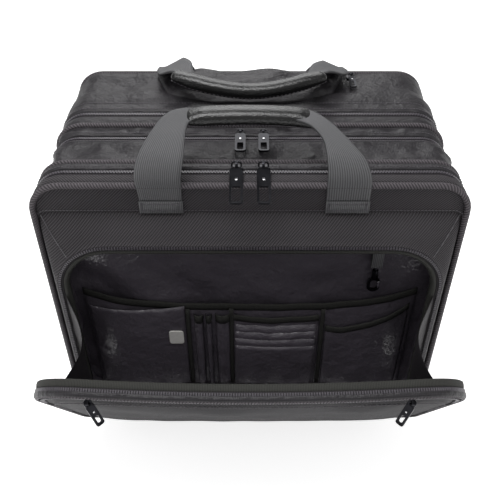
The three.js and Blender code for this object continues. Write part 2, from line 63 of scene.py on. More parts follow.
# Places are given in millimetres: x from the middle of the case, back from the front piping,
# up from the top of the case (so most are negative).
frontEdge = (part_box("front_piping")[0][1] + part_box("front_piping")[1][1]) / 2
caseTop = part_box("front_piping")[1][2]
joints = {joint["name"]: joint for joint in frame["joints"]}


def at(x, back, up):
    return Vector((x / 1000, frontEdge + back / 1000, caseTop + up / 1000))


# The lid leans forward about its own lower edge: x, depth outwards from its inner rim, height along it.
lidHinge = Vector(joints["organiser_lid_hinge"]["pos_m"])
lidLean = math.radians(31.5)


def onLid(x, depth, along):
    y = -depth * math.cos(lidLean) - along * math.sin(lidLean)
    z = -depth * math.sin(lidLean) + along * math.cos(lidLean)
    return Vector((x / 1000, lidHinge.y + y / 1000, lidHinge.z + z / 1000))


def ripple(x, y, z=0.0):
    return noise.noise(Vector((x, y, z)))


# Materials: colours are given as they look on screen and made linear here.
def linear(hexColour):
    channels = [int(hexColour[i:i + 2], 16) / 255 for i in (1, 3, 5)]
    return tuple(c / 12.92 if c <= 0.04045 else ((c + 0.055) / 1.055) ** 2.4 for c in channels) + (1,)


def addNode(material, kind, values=None, links=None, **settings):
    made = material.node_tree.nodes.new(kind)
    for name, value in settings.items():
        setattr(made, name, value)
    for socket, value in (values or {}).items():
        made.inputs[socket].default_value = value
    for socket, source in (links or {}).items():
        material.node_tree.links.new(source, made.inputs[socket])
    return made


def newMaterial(name, settings):
    material = bpy.data.materials.new(name)
    material.use_nodes = True
    shader = material.node_tree.nodes["Principled BSDF"]
    for socket, value in settings.items():
        shader.inputs[socket].default_value = value
    return material, shader


def mixColours(material, factor, dark, light, shader):
    mixed = addNode(material, "ShaderNodeMix", {"A": linear(dark), "B": linear(light)}, data_type="RGBA")
    material.node_tree.links.new(factor, mixed.inputs["Factor"])
    material.node_tree.links.new(mixed.outputs["Result"], shader.inputs["Base Color"])


def threadWave(material, pitch, direction, mapped):
    # a wave repeats every 0.314 / scale
    values = {"Scale": 0.314 / pitch, "Distortion": 0.5, "Detail": 1, "Detail Scale": 0.3}
    return addNode(material, "ShaderNodeTexWave", values, {"Vector": mapped}, bands_direction=direction)


def woven(name, dark, light, warp, weft, turn, roughness, depth, cross=0.5, blotch=0.3, gloss=0.22,
          rumple=0.0):
    # Threads run one way and are crossed by others; a slow noise stands for handling marks and uneven dye.
    material, shader = newMaterial(name, {"Roughness": roughness, "Specular IOR Level": gloss, "IOR": 1.53})
    cloth = addNode(material, "ShaderNodeUVMap", uv_map="cloth")
    turned = addNode(material, "ShaderNodeMapping",
                     {"Scale": (1000, 1000, 1000), "Rotation": (0, 0, math.radians(turn))},
                     {"Vector": cloth.outputs["UV"]})
    ribs = threadWave(material, warp, "X", turned.outputs["Vector"])
    picks = threadWave(material, weft, "Y", turned.outputs["Vector"])
    threads = addNode(material, "ShaderNodeMix", {"Factor": cross},
                      {"A": ribs.outputs["Fac"], "B": picks.outputs["Fac"]}, data_type="FLOAT")
    place = addNode(material, "ShaderNodeTexCoord")
    cloudy = addNode(material, "ShaderNodeTexNoise", {"Scale": 14, "Detail": 4},
                     {"Vector": place.outputs["Object"]})
    shade = addNode(material, "ShaderNodeMath", {1: blotch},
                    {0: cloudy.outputs["Fac"], 2: threads.outputs["Result"]}, operation="MULTIPLY_ADD")
    mixColours(material, shade.outputs["Value"], dark, light, shader)
    bump = addNode(material, "ShaderNodeBump", {"Strength": 0.7, "Distance": depth / 1000},
                   {"Height": threads.outputs["Result"]})
    if rumple:
        # handling leaves shallow creases a centimetre or two apart
        creases = addNode(material, "ShaderNodeTexNoise", {"Scale": 60, "Detail": 3, "Roughness": 0.6},
                          {"Vector": place.outputs["Object"]})
        bump = addNode(material, "ShaderNodeBump", {"Strength": 0.8, "Distance": rumple / 1000},
                       {"Height": creases.outputs["Fac"], "Normal": bump.outputs["Normal"]})
    material.node_tree.links.new(bump.outputs["Normal"], shader.inputs["Normal"])
    return material


# 1680-denier nylon in a twill: strong slanting ribs, drawn at 2.2 mm so that they show
twillNylon = woven("twillNylon", "#040404", "#454245", 2.2, 1.5, 45, 0.62, 0.7, 0.3, 0.3, 0.14)
# the lid's outer pocket is the same twill with painted shade: darker colours for a lid that sits in shade
lidTwill = woven("lidTwill", "#030303", "#343235", 2.2, 1.5, 45, 0.62, 0.7, 0.3, 0.3, 0.12)
# fine plain-woven nylon with a soft even gloss; threads drawn at 1.6 mm
plainNylon = woven("plainNylon", "#121113", "#2d2b2e", 1.6, 1.6, 0, 0.46, 0.2, 0.5, 0.55, 0.26, 4.5)
# flat webbing: ribs along its length every 1.8 mm, crossed by fine picks
webbingNylon = woven("webbingNylon", "#2a2a2b", "#676769", 1.8, 1.1, 0, 0.6, 0.4, 0.3, 0.2)
# grosgrain binding: close ribs across its width
grosgrain = woven("grosgrain", "#1a1a19", "#3b3b38", 1.4, 6.0, 0, 0.75, 0.25, 0.1)
# zip tape: dense herringbone, drawn as plain slanting ribs
zipTape = woven("zipTape", "#100f11", "#322f32", 1.6, 1.6, 40, 0.7, 0.2, 0.4)
# welting: a cord covered in twill cut on the slant, so its ribs run round it
weltTwill = woven("weltTwill", "#151416", "#575256", 2.6, 9.0, 28, 0.6, 0.6, 0.06)
# taffeta lining, thin and slightly shiny
satinLining = woven("satinLining", "#19171a", "#57525a", 1.2, 1.2, 0, 0.3, 0.06, 0.5, 0.7, 0.9, 4.0)

# full-grain leather, embossed with a pebble about 1.6 mm across, oiled so it glints
leatherGloss = {"Roughness": 0.27, "IOR": 1.5, "Specular IOR Level": 0.45, "Coat Weight": 0.05,
                "Coat Roughness": 0.3}
grainLeather, grainShader = newMaterial("grainLeather", leatherGloss)
grainPlace = addNode(grainLeather, "ShaderNodeTexCoord")
grainCells = addNode(grainLeather, "ShaderNodeTexVoronoi", {"Scale": 620},
                     {"Vector": grainPlace.outputs["Object"]})
grainFolds = addNode(grainLeather, "ShaderNodeTexNoise", {"Scale": 90, "Detail": 4},
                     {"Vector": grainPlace.outputs["Object"]})
grainHeight = addNode(grainLeather, "ShaderNodeMath", {1: 0.7},
                      {0: grainCells.outputs["Distance"], 2: grainFolds.outputs["Fac"]},
                      operation="MULTIPLY_ADD")
grainBump = addNode(grainLeather, "ShaderNodeBump", {"Strength": 0.7, "Distance": 0.0005},
                    {"Height": grainHeight.outputs["Value"]})
mixColours(grainLeather, grainFolds.outputs["Fac"], "#020202", "#0d0d0d", grainShader)
grainLeather.node_tree.links.new(grainBump.outputs["Normal"], grainShader.inputs["Normal"])


def speckled(name, dark, light, roughness, size, depth, **settings):
    # A moulded or plated surface: fine grit in its height and colour.
    extra = {socket.replace("_", " "): value for socket, value in settings.items()}
    material, shader = newMaterial(name, {"Roughness": roughness, **extra})
    place = addNode(material, "ShaderNodeTexCoord")
    grit = addNode(material, "ShaderNodeTexNoise", {"Scale": 1000 / size, "Detail": 3},
                   {"Vector": place.outputs["Object"]})
    mixColours(material, grit.outputs["Fac"], dark, light, shader)
    bump = addNode(material, "ShaderNodeBump", {"Strength": 0.4, "Distance": depth / 1000},
                   {"Height": grit.outputs["Fac"]})
    material.node_tree.links.new(bump.outputs["Normal"], shader.inputs["Normal"])
    return material


# nylon coil: smooth extruded monofilament
coilNylon = speckled("coilNylon", "#343136", "#59555b", 0.38, 3, 0.02, IOR=1.53)
# polyester sewing thread
sewingThread = speckled("sewingThread", "#3c393d", "#6b676d", 0.6, 1.5, 0.05, IOR=1.53)
# zinc plated gunmetal: dark and glossy
platedGunmetal = speckled("platedGunmetal", "#1c1c1e", "#343438", 0.28, 6, 0.01, Metallic=1.0)
# polished nickel rivet
nickel = speckled("nickel", "#b9b9bc", "#d8d8da", 0.15, 6, 0.005, Metallic=1.0)
# moulded ABS with a fine spark-eroded texture
texturedAbs = speckled("texturedAbs", "#121213", "#232325", 0.52, 1.4, 0.06, IOR=1.54)
# polyurethane tread and rubber feet
mattRubber = speckled("mattRubber", "#141414", "#2a2a2a", 0.8, 2, 0.08, IOR=1.52)
# anodised aluminium tube, drawn lengthways
anodisedAluminium = speckled("anodisedAluminium", "#6c6e72", "#8b8d91", 0.34, 0.9, 0.01, Metallic=1.0)
# turned steel
turnedSteel = speckled("turnedSteel", "#98999b", "#b7b8ba", 0.3, 1.5, 0.01, Metallic=1.0)
# soft white plastic tag
whiteTag = speckled("whiteTag", "#d2d1cb", "#e4e3de", 0.45, 4, 0.02, IOR=1.49)

print("materials made")


# Turns a bmesh into a piece that has its material, rides on its body and stands in for the parts it
# replaces.
def finishPiece(bm, name, material, body, replaced=(), thick=0.0, smooth=0, flat=False):
    mesh = bpy.data.meshes.new(name)
    bm.to_mesh(mesh)
    bm.free()
    piece = bpy.data.objects.new(name, mesh)
    scene.collection.objects.link(piece)
    mesh.materials.append(material)
    mesh.polygons.foreach_set("use_smooth", [not flat] * len(mesh.polygons))
    if thick:
        wall = piece.modifiers.new("thickness", "SOLIDIFY")
        wall.thickness = thick / 1000
        wall.offset = -1
    if smooth:
        rounded = piece.modifiers.new("rounding", "SUBSURF")
        rounded.levels = rounded.render_levels = smooth
    if body:
        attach(piece, body)
    if replaced:
        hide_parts(*replaced)
    return piece


def runningLengths(points):
    lengths = [0.0]
    for a, b in zip(points, points[1:]):
        lengths.append(lengths[-1] + (b - a).length)
    return lengths


# A grid of cloth laid through rows of points, with a "cloth" UV map in metres along and across it.
def layCloth(rows, closed=False, tube=False, flip=False, plan=None):
    if closed:
        rows = [row + row[:1] for row in rows]
    if tube:
        rows = rows + rows[:1]
    columns = len(rows[0]) - 1
    last = len(rows) - 1
    bm = bmesh.new()
    bmesh.ops.create_grid(bm, x_segments=columns, y_segments=last, size=1)
    across = runningLengths(rows[last // 2])
    along = runningLengths([row[columns // 3] for row in rows])
    cloth = bm.loops.layers.uv.new("cloth")
    place = {v: (round((v.co.x + 1) / 2 * columns), round((v.co.y + 1) / 2 * last)) for v in bm.verts}
    for face in bm.faces:
        for loop in face.loops:
            i, j = place[loop.vert]
            loop[cloth].uv = plan(rows[j][i]) if plan else (across[i], along[j])
    for vert, (i, j) in place.items():
        vert.co = rows[j][i]
    if closed or tube:
        bmesh.ops.remove_doubles(bm, verts=bm.verts, dist=1e-6)
    if flip:
        bmesh.ops.reverse_faces(bm, faces=bm.faces)
    return bm


# Points round a rectangle with rounded corners, each with the way out from it; it starts at the bottom
# middle and goes round to the right.
def outline(half, low, high, upper, lower, counts=(40, 9, 36, 56)):
    bottom, corner, side, top = counts
    points = []

    def straight(x0, z0, x1, z1, steps, way):
        points.extend((x0 + (x1 - x0) * i / steps, z0 + (z1 - z0) * i / steps, *way) for i in range(steps))

    def bend(x, z, radius, start):
        for i in range(corner):
            turn = start + math.pi / 2 * i / corner
            wayX, wayZ = math.cos(turn), math.sin(turn)
            points.append((x + radius * wayX, z + radius * wayZ, wayX, wayZ))

    straight(0, low, half - lower, low, bottom // 2, (0, -1))
    bend(half - lower, low + lower, lower, -math.pi / 2)
    straight(half, low + lower, half, high - upper, side, (1, 0))
    bend(half - upper, high - upper, upper, 0)
    straight(half - upper, high, upper - half, high, top, (0, 1))
    bend(upper - half, high - upper, upper, math.pi / 2)
    straight(-half, high - upper, -half, low + lower, side, (-1, 0))
    bend(lower - half, low + lower, lower, math.pi)
    straight(lower - half, low, 0, low, bottom // 2, (0, -1))
    return points


def ringAt(line, depth, out, place=at, crease=None):
    ring = []
    for x, z, wayX, wayZ in line:
        stand = out + (crease(x, z, depth) if crease else 0)
        ring.append(place(x + wayX * stand, depth, z + wayZ * stand))
    return ring


# Cloth wrapped round a line, through a profile of (depth, standing out) pairs.
def wrap(name, line, profile, material, body, place=at, crease=None, replaced=(), thick=0.0, flip=True):
    rows = [ringAt(line, depth, out, place, crease) for depth, out in profile]
    return finishPiece(layCloth(rows, closed=True, flip=flip), name, material, body, replaced, thick)


# A cord covered in cloth, sewn in along a line.
def welt(name, line, depth, out, radius, body, place=at, replaced=()):
    rows = []
    for i in range(10):
        turn = 2 * math.pi * i / 10
        rows.append(ringAt(line, depth + radius * math.sin(turn), out + radius * math.cos(turn), place))
    bm = layCloth(rows, closed=True, tube=True, flip=True)
    return finishPiece(bm, name, weltTwill, body, replaced)


# Evenly spaced places along a closed line: where, which way it runs and which way is out.
def stepsAlong(line, depth, out, pitch, place=at, keep=None, phase=0.0):
    points = ringAt(line, depth, out, place)
    outer = ringAt(line, depth, out + 1, place)
    points.append(points[0])
    outer.append(outer[0])
    lengths = runningLengths(points)
    steps = []
    count = int(lengths[-1] * 1000 / pitch)
    index = 0
    for k in range(count):
        target = (k + phase) * lengths[-1] / count
        while lengths[index + 1] < target:
            index += 1
        share = (target - lengths[index]) / (lengths[index + 1] - lengths[index])
        spot = points[index].lerp(points[index + 1], share)
        if keep and not keep(spot):
            continue
        way = (points[index + 1] - points[index]).normalized()
        outward = (outer[index].lerp(outer[index + 1], share) - spot).normalized()
        steps.append((spot, way, outward))
    return steps


# Small blocks set along a line: zip teeth or stitches. Sizes are along, across and out.
def blocksAlong(name, steps, size, material, body, slant=0.0):
    bm = bmesh.new()
    block = Matrix.Diagonal((size[0] / 1000, size[1] / 1000, size[2] / 1000, 1))
    for spot, way, outward in steps:
        side = outward.cross(way).normalized()
        lean = Matrix.Rotation(slant, 3, outward)
        turn = Matrix((lean @ way, lean @ side, outward)).transposed().to_4x4()
        bmesh.ops.create_cube(bm, size=1, matrix=Matrix.Translation(spot) @ turn @ block)
    return finishPiece(bm, name, material, body, flat=True)


coil = dict(wire=1.5, height=1.5, slant=0.2, tape=6.0)


# One half of a coil zip and the tape it is woven to.
def zipHalf(name, line, depth, out, towards, body, width=2.4, pitch=2.8):
    phase = 0.0 if towards > 0 else 0.5
    steps = stepsAlong(line, depth + towards * (width / 2 - 0.2), out + 0.5, pitch, phase=phase)
    blocksAlong(name + "Coil", steps, (coil["wire"], width, coil["height"]), coilNylon, body,
                coil["slant"] * towards)
    near, far = depth + towards * 0.35, depth + towards * coil["tape"]
    profile = [(near, out - 0.4), (near, out), ((near + far) / 2, out - 0.1), (far, out - 0.5)]
    if towards < 0:
        profile.reverse()
    wrap(name + "Tape", line, profile, zipTape, body, thick=0.5)


# A name such as wheel_hub_left becomes wheelHubLeft.
def pieceName(node):
    words = node.split("_")
    return words[0] + "".join(word.title() for word in words[1:])


# A hard piece from the frame, its facets joined up and its edges rounded off.
def tidyCopy(node, material, body, bevel=0.5, segments=2):
    bm = bmesh.new()
    bm.from_mesh(frame["nodes"][node].data)
    bmesh.ops.remove_doubles(bm, verts=bm.verts, dist=1e-5)
    bmesh.ops.dissolve_limit(bm, angle_limit=math.radians(1), verts=bm.verts, edges=bm.edges)
    sharp = [e for e in bm.edges if len(e.link_faces) == 2 and e.calc_face_angle(0) > math.radians(32)]
    bmesh.ops.bevel(bm, geom=sharp, offset=bevel / 1000, offset_type="OFFSET", affect="EDGES",
                    segments=segments, profile=0.5, material=-1, clamp_overlap=True)
    cloth = bm.loops.layers.uv.new("cloth")
    for face in bm.faces:
        for loop in face.loops:
            loop[cloth].uv = (loop.vert.co.x, loop.vert.co.z)
    piece = finishPiece(bm, pieceName(node), material, body, [node])
    piece.data.set_sharp_from_angle(angle=math.radians(35))
    return piece


# camera, floor and light
camera = bpy.data.objects.new("camera", bpy.data.cameras.new("camera"))
scene.collection.objects.link(camera)
scene.camera = camera
cameraPlace = dict(lens=47.1, back=-514, up=346, lookingDown=39.8)
camera.data.lens = cameraPlace["lens"]
camera.location = at(0, cameraPlace["back"], cameraPlace["up"])
camera.rotation_euler = (math.radians(90 - cameraPlace["lookingDown"]), 0, 0)

floorMesh = bmesh.new()
bmesh.ops.create_grid(floorMesh, x_segments=1, y_segments=1, size=30)
floor = bpy.data.objects.new("floor", bpy.data.meshes.new("floor"))
floorMesh.to_mesh(floor.data)
floorMesh.free()
scene.collection.objects.link(floor)
paper = newMaterial("studioPaper", {"Base Color": linear("#fbfbfb"), "Roughness": 0.9,
                                    "Emission Color": linear("#ffffff"), "Emission Strength": 0.72})[0]
floor.data.materials.append(paper)

scene.view_settings.view_transform = "Standard"
scene.world = bpy.data.worlds.new("studio")
scene.world.use_nodes = True
scene.world.node_tree.nodes["Background"].inputs["Color"].default_value = (1, 1, 1, 1)
scene.world.node_tree.nodes["Background"].inputs["Strength"].default_value = 0.32

lamps = {"overhead": dict(spot=(-0.2, -0.12, 1.6), aim=(0, 0.0, 0.25), size=0.8, watts=17),
         "behind": dict(spot=(-0.1, 1.35, 1.2), aim=(0, 0, 0.3), size=0.9, watts=8),
         "fill": dict(spot=(0.15, -1.7, 1.25), aim=(0, 0, 0.15), size=1.0, watts=1.6),
         "left": dict(spot=(-1.5, -0.5, 1.2), aim=(0, 0, 0.2), size=0.9, watts=4),
         "right": dict(spot=(1.5, -0.5, 1.1), aim=(0, 0, 0.2), size=0.9, watts=4)}
for name, lamp in lamps.items():
    light = bpy.data.lights.new(name, "AREA")
    light.energy = lamp["watts"]
    light.size = lamp["size"]
    lampObject = bpy.data.objects.new(name, light)
    scene.collection.objects.link(lampObject)
    lampObject.location = lamp["spot"]
    aim = Vector(lamp["aim"]) - Vector(lamp["spot"])
    lampObject.rotation_euler = aim.to_track_quat("-Z", "Y").to_euler()
print("stage set")

# the case's outline, and how far back each zip lies
case = dict(half=215, height=332, upper=34, lower=26)
caseLine = outline(case["half"], -case["height"], 0, case["upper"], case["lower"])
frontZip, middleZip, rearZip = 21.5, 92, 139


# Soft cloth between the weltings: short puckers that run front to back and a slack middle.
def slack(amount, size=24, seed=0.0):
    def crease(x, z, depth):
        broad = ripple((x + z) / size, depth / 60, seed)
        broad += 0.5 * ripple((x - z) / (size * 2.2), depth / 40, seed + 9)
        pinched = 0.45 - 2 * abs(ripple((x + z) / (size * 1.4) + depth / 55, depth / 26, seed + 3))
        return amount * (broad + 0.45 * pinched)
    return crease


def closeIn(start, end, crease):
    # the puckers die away at the seams
    def eased(x, z, depth):
        share = min(max((depth - start) / 7, 0), 1) * min(max((end - depth) / 7, 0), 1)
        return crease(x, z, depth) * share
    return eased


welt("frontWelt", caseLine, 0, -3.2, 3.2, "front_section", replaced=["front_piping"])
frontSides = [(3.0, -2.4), (5, -0.9), (10, -0.4), (14.2, -0.5), (15.4, -1.2), (16.2, -2.6), (15.9, -4.6)]
wrap("frontSides", caseLine, frontSides, twillNylon, "front_section", thick=1.2)
zipHalf("frontZipFront", caseLine, frontZip, -2.6, -1, "front_section")
zipHalf("frontZipBack", caseLine, frontZip, -2.6, 1, "computer_section")

computerProfile = [(26.9, -4.8), (26.5, -2.6), (27.8, -1.2), (30, -0.6), (33, -0.5), (35.5, -1.0),
                   (37.2, -2.4), (38.2, -3.6), (42.8, -4.2), (45, -4.2), (49, -4.0), (54, -4.2),
                   (60, -4.6), (66, -4.9), (72, -4.8), (78, -4.4), (82, -4.0), (85.2, -4.1), (87.2, -4.8),
                   (87.7, -6.2), (87.2, -8.2)]
computerCrease = closeIn(44, 83, slack(8.5))
wrap("computerCloth", caseLine, computerProfile, plainNylon, "computer_section", crease=computerCrease,
     thick=1.2, replaced=["computer_shell"])
welt("computerWelt", caseLine, 40.5, -3.2, 3.2, "computer_section")
zipHalf("middleZipFront", caseLine, middleZip, -6.4, -1, "computer_section", width=2.0, pitch=2.4)
zipHalf("middleZipBack", caseLine, middleZip, -6.4, 1, "file_section", width=2.0, pitch=2.4)

fileProfile = [(96.9, -8.2), (96.3, -6.2), (97.3, -4.8), (99, -4.1), (102, -3.9), (105, -4.1),
               (108, -4.3), (111, -4.2), (113.2, -3.8), (117.8, -3.6), (119.5, -2.6), (122, -1.9),
               (126, -1.6), (130, -1.6), (132.6, -2.0), (133.4, -3.2), (133.0, -4.8)]
fileCrease = closeIn(98, 113, slack(7.0, 20, 4.0))
wrap("fileCloth", caseLine, fileProfile, plainNylon, "file_section", crease=fileCrease, thick=1.2,
     replaced=["file_shell"])
welt("fileWelt", caseLine, 115.5, -3.4, 3.1, "file_section")
zipHalf("rearZipFront", caseLine, rearZip, -3.0, -1, "file_section", width=2.9, pitch=3.0)
zipHalf("rearZipBack", caseLine, rearZip, -3.0, 1, "case_back", width=2.9, pitch=3.0)

# the rear section is cut away at its lower corners for the wheels, and on top for the trolley handle
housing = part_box("wheel_housing_right")
bay = dict(half=69, front=203, back=238.4)
rearProfile = [(145.0, -5.0), (144.4, -3.2), (145.4, -1.8), (147.5, -0.9), (151, -0.7), (156, -0.9),
               (163, -1.0), (164.5, -0.5), (170, -0.3), (178, -0.1), (186, 0), (194, -0.1), (203, -0.2),
               (212, -0.2), (221, -0.2), (230, -0.3), (238.4, -0.6), (241.2, -1.2), (243, -2.2)]
rearCrease = closeIn(164, 242, slack(6.0, 48, 7.0))
rearRows = [ringAt(caseLine, depth, out, at, rearCrease) for depth, out in rearProfile]


# Room for a wheel housing is cut out of each lower corner along straight lines.
def cutForHousings(bm, cutFront=False):
    gap = 0.0012
    inner, upper, front = housing[0][0] - gap, housing[1][2] + gap, housing[0][1] - gap
    planes = [((inner, 0, 0), (1, 0, 0)), ((-inner, 0, 0), (1, 0, 0)), ((0, 0, upper), (0, 0, 1))]
    if cutFront:
        planes.append(((0, front, 0), (0, 1, 0)))
    for spot, way in planes:
        bmesh.ops.bisect_plane(bm, geom=bm.verts[:] + bm.edges[:] + bm.faces[:], dist=1e-5, plane_co=spot,
                               plane_no=way)
    inside = []
    for face in bm.faces:
        middle = face.calc_center_median()
        if abs(middle.x) > inner and middle.z < upper and (middle.y > front or not cutFront):
            inside.append(face)
    bmesh.ops.delete(bm, geom=inside, context="FACES")


rearSides = layCloth(rearRows, closed=True, flip=True)
overBay = [f for f in rearSides.faces
           if (bay["front"] < (f.calc_center_median().y - frontEdge) * 1000 < bay["back"]
               and abs(f.calc_center_median().x) * 1000 < bay["half"]
               and f.calc_center_median().z > caseTop - 0.01)]
bmesh.ops.delete(rearSides, geom=overBay, context="FACES")
cutForHousings(rearSides, cutFront=True)
finishPiece(rearSides, "rearCloth", plainNylon, "case_back", ["rear_shell"], thick=1.2)
weltRows = []
for i in range(10):
    turn = 2 * math.pi * i / 10
    weltRows.append(ringAt(caseLine, 245 + 3.2 * math.sin(turn), -3.2 + 3.2 * math.cos(turn)))
rearWelt = layCloth(weltRows, closed=True, tube=True, flip=True)
cutForHousings(rearWelt)
bmesh.ops.holes_fill(rearWelt, edges=[e for e in rearWelt.edges if e.is_boundary], sides=12)
finishPiece(rearWelt, "rearWelt", weltTwill, "case_back", ["rear_piping"])


# Rings drawn in towards the middle of a panel, which swells a little.
def panelRings(line, shares, depthAt, place=at, centre=(0, -166)):
    rows = []
    for share in shares:
        row = []
        for x, z, wayX, wayZ in line:
            px, pz = centre[0] + (x - centre[0]) * share, centre[1] + (z - centre[1]) * share
            row.append(place(px, depthAt(px, pz, share), pz))
        rows.append(row)
    return rows


# The last small ring of a panel is filled in.
def closeMiddle(bm):
    edges = [e for e in bm.edges if e.is_boundary and e.calc_length() < 0.0016]
    if edges:
        bmesh.ops.holes_fill(bm, edges=edges, sides=0)
    return bm


def flatPlan(point):
    return (point.x, point.z)


shares = [1, 0.97, 0.93, 0.87, 0.8, 0.7, 0.6, 0.5, 0.4, 0.3, 0.2, 0.1, 0.02]
backLine = outline(212, -329, -3, 31, 23)
backRows = panelRings(backLine, shares,
                      lambda x, z, s: 242.4 + 3.4 * (1 - s ** 4) + 0.7 * ripple(x / 60, z / 60, 3.0))
backPanel = closeMiddle(layCloth(backRows, closed=True, flip=False, plan=flatPlan))
cutForHousings(backPanel)
finishPiece(backPanel, "backPanel", twillNylon, "case_back", thick=1.0)

# stitching beside the zips
stitchRuns = {"computer": (29.5, -0.4, "computer_section"),
              "computerRear": (83.5, -3.6, "computer_section"), "file": (101, -3.6, "file_section"),
              "rearOne": (149, -0.5, "case_back"), "rearTwo": (162.5, -0.7, "case_back")}


def aboveWheels(spot):
    return spot.z > housing[1][2]


for name, (depth, out, body) in stitchRuns.items():
    steps = stepsAlong(caseLine, depth, out, 3.4, keep=aboveWheels)
    blocksAlong(name + "Stitches", steps, (2.3, 0.55, 0.5), sewingThread, body)
print("sections made")

# the front: a flat border, then a frame that slopes out to the pocket's rim
pocket = dict(half=200, low=-314, high=-62, upper=58, lower=22, stand=-16.5)
counts = (40, 12, 30, 56)
edgeLine = outline(211, -328, -4, 30, 22, counts)
footLine = outline(208.5, -325, -36, 9, 18, counts)
rimLine = outline(pocket["half"], pocket["low"], pocket["high"], pocket["upper"], pocket["lower"], counts)


def between(lineA, lineB, share):
    return [tuple(a + (b - a) * share for a, b in zip(p, q)) for p, q in zip(lineA, lineB)]


frontRows = [ringAt(outline(212, -329, -3, 31, 23, counts), 4.5, 0), ringAt(edgeLine, 2.8, 0)]
for share in (0.1, 0.3, 0.5, 0.7, 0.9):
    frontRows.append(ringAt(between(edgeLine, footLine, share), 1.9 + 0.4 * abs(share - 0.5), 0))
frontRows += [ringAt(footLine, 2.2, 0.8), ringAt(footLine, 3.2, 0.0), ringAt(footLine, 2.0, -0.9)]
for share in (0.08, 0.2, 0.35, 0.5, 0.65, 0.8, 0.92):
    puff = -1.6 * math.sin(math.pi * share)
    depth = 2.0 + (pocket["stand"] - 2.0) * share + puff
    frontRows.append(ringAt(between(footLine, rimLine, share), depth, 0))
frontRows += [ringAt(rimLine, pocket["stand"] - 0.6, 0), ringAt(rimLine, pocket["stand"] - 1.6, -1.2),
              ringAt(rimLine, pocket["stand"] - 1.4, -2.4), ringAt(rimLine, pocket["stand"] + 0.4, -3.0)]
frontCloth = layCloth(frontRows, closed=True, flip=False, plan=flatPlan)
finishPiece(frontCloth, "frontCloth", twillNylon, "front_section", ["front_shell"], thick=1.4)

# mitre seams from the corners of the border to the rim
bottom, corner, upright, top = counts
rightSide = bottom // 2 + corner + upright
leftTop = rightSide + corner + top
mitreStarts = [rightSide + corner // 2, leftTop + corner // 2, bottom // 2 + corner // 2,
               leftTop + corner + upright + corner // 2]
mitreSteps = 22
mitreStitch = Matrix.Diagonal((0.0026, 0.0009, 0.0006, 1))
mitre = bmesh.new()
for start in mitreStarts:
    a, b = footLine[start], rimLine[start]
    for i in range(mitreSteps):
        share = (i + 0.5) / mitreSteps
        puff = -1.6 * math.sin(math.pi * share)
        x, z = a[0] + (b[0] - a[0]) * share, a[1] + (b[1] - a[1]) * share
        spot = at(x, 2.0 + (pocket["stand"] - 2.0) * share + puff - 0.1, z)
        way = (at(b[0], pocket["stand"], b[1]) - at(a[0], 2, a[1])).normalized()
        out = Vector((0, -1, 0)).cross(way).cross(way) * -1
        side = out.cross(way).normalized()
        turn = Matrix((way, side, out.normalized())).transposed().to_4x4()
        bmesh.ops.create_cube(mitre, size=1, matrix=Matrix.Translation(spot) @ turn @ mitreStitch)
finishPiece(mitre, "mitreStitches", satinLining, "front_section", flat=True)
facingForward = Vector((0, -1, 0))
borderSteps = stepsAlong(footLine, 1.7, 2.6, 3.4)
blocksAlong("borderStitches", [(s, w, facingForward) for s, w, o in borderSteps], (2.3, 0.55, 0.5),
            coilNylon, "front_section")


def overHinge(spot):
    return spot.z > lidHinge.z + 0.02


# The rim's zip half faces forward: teeth, tape, then grosgrain rolled over the edge.
teethSteps = stepsAlong(rimLine, pocket["stand"] - 2.0, -3.2, 2.8, keep=overHinge)
blocksAlong("pocketTeeth", [(s, w, facingForward) for s, w, o in teethSteps], (1.5, 2.6, 1.4), coilNylon,
            "front_section")
stand = pocket["stand"]
tapeProfile = [(stand - 1.2, -2.6), (stand - 1.3, -5.5), (stand - 0.4, -8.0)]
wrap("pocketTape", rimLine, tapeProfile, zipTape, "front_section", thick=0.6, flip=False)
bindingProfile = [(stand + 0.8, -6.6), (stand - 1.0, -7.2), (stand - 1.6, -9.0), (stand - 0.8, -11.0),
                  (stand + 2.6, -13.0), (stand + 5.0, -12.6)]
wrap("pocketBinding", rimLine, bindingProfile, grosgrain, "front_section", thick=0.8, flip=False)
wallProfile = [(stand + 2, -11.5), (-8, -9), (2, -7), (10, -6), (16.4, -5)]
wrap("pocketWalls", rimLine, wallProfile, satinLining, "front_section", crease=slack(3, 30, 2.0), flip=False)
print("front made")


# Inside the organiser pocket the lining hangs in slanting folds.
def liningDepth(x, z):
    slant = (x + 0.9 * z + 40) / 15 + 1.6 * ripple(x / 70, z / 70, 1.0)
    folds = 2.6 * math.sin(slant) * math.exp(-((x + 105) / 95) ** 2)
    gather = (x * 0.8 - z * 0.35) / 17 + ripple(x / 90, z / 50, 5.0)
    folds += 2.2 * math.sin(gather) * math.exp(-((x - 40) / 120) ** 2)
    return 14.5 + folds + 2.2 * ripple(x / 40, z / 26, 2.0)


def clothPanel(name, left, right, topAt, bottom, depthAt, material, body, replaced=(), columns=60, rows=40):
    grid = []
    for j in range(rows + 1):
        row = []
        for i in range(columns + 1):
            x = left + (right - left) * i / columns
            z = topAt(x) + (bottom - topAt(x)) * j / rows
            row.append(at(x, depthAt(x, z), z))
        grid.append(row)
    bm = layCloth(grid, plan=flatPlan, flip=True)
    return finishPiece(bm, name, material, body, replaced, thick=0.6)


# A bound edge: tape folded over the top of a panel.
def boundEdge(name, left, right, topAt, depthAt, height, body, columns=50):
    stand = 0.9
    shape = [(-height, -stand), (-height * 0.5, -stand - 0.3), (-0.8, -stand - 0.1), (0.9, 0),
             (-0.8, stand), (-height * 0.7, stand)]
    rows = []
    for drop, lift in shape:
        row = []
        for i in range(columns + 1):
            x = left + (right - left) * i / columns
            row.append(at(x, depthAt(x, topAt(x)) + lift, topAt(x) + drop))
        rows.append(row)
    return finishPiece(layCloth(rows), name, grosgrain, body, thick=0.5)


